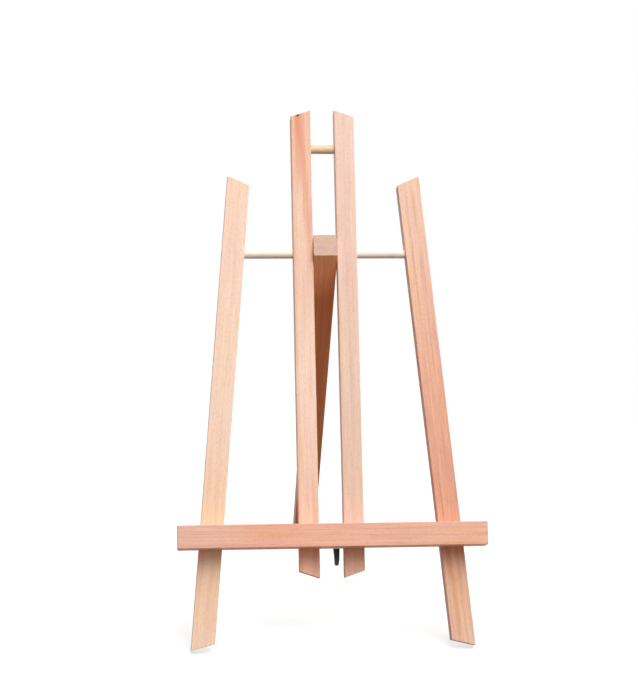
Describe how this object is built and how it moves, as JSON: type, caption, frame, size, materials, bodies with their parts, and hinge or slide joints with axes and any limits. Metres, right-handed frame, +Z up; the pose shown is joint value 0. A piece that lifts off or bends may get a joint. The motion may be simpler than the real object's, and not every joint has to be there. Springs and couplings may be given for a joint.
{
  "type": "plate display stand",
  "caption": "Beech table-top easel for one plate: leaning four-strip frame, hinged rear leg, and a ledge clamped from behind by a wing nut.",
  "frame": {"origin": "bottom centre of the stand's bounding box, on the surface it stands on", "axes": "+Z up, -Y the front where the plate shows, +X to the viewer's right"},
  "size_m": [0.265, 0.335, 0.4372],
  "materials": {
    "beech": "sanded, clear matte lacquer",
    "dowel_birch": "sanded",
    "zinc_steel": "zinc plated",
    "black_nylon": "moulded, satin"
  },
  "bodies": {
    "frame": {"outer_leg_left": "beech", "outer_leg_right": "beech", "upright_left": "beech", "upright_right": "beech", "top_dowel": "dowel_birch", "hinge_dowel": "dowel_birch", "lower_dowel_left": "dowel_birch", "lower_dowel_right": "dowel_birch"},
    "rear_leg": {"rear_leg": "beech"},
    "ledge": {"ledge": "beech", "ledge_stud": "zinc_steel"},
    "clamp": {"clamp_plate": "zinc_steel"},
    "nut": {"wing_nut": "black_nylon"}
  },
  "joints": [
    {"name": "rear_leg_fold", "type": "hinge", "parent": "frame", "child": "rear_leg", "pos_m": [0, -0.01914, 0.31613], "axis": [1, 0, 0], "range_deg": [-35, 110]},
    {"name": "ledge_height", "type": "slide", "parent": "frame", "child": "ledge", "axis": [0, 0.4147, 0.91], "range_m": [-0.015, 0.08]},
    {"name": "clamp_open", "type": "slide", "parent": "ledge", "child": "clamp", "axis": [0, 0.91, -0.4147], "range_m": [0, 0.0016]},
    {"name": "wing_nut_turn", "type": "hinge", "parent": "clamp", "child": "nut", "pos_m": [0.0053, -0.11657, 0.08041], "axis": [0, 0.91, -0.4147], "range_deg": [0, 720]}
  ],
  "couplings": [
    {"joint": "wing_nut_turn", "follows": "clamp_open", "rad_per_m": 7854}
  ]
}
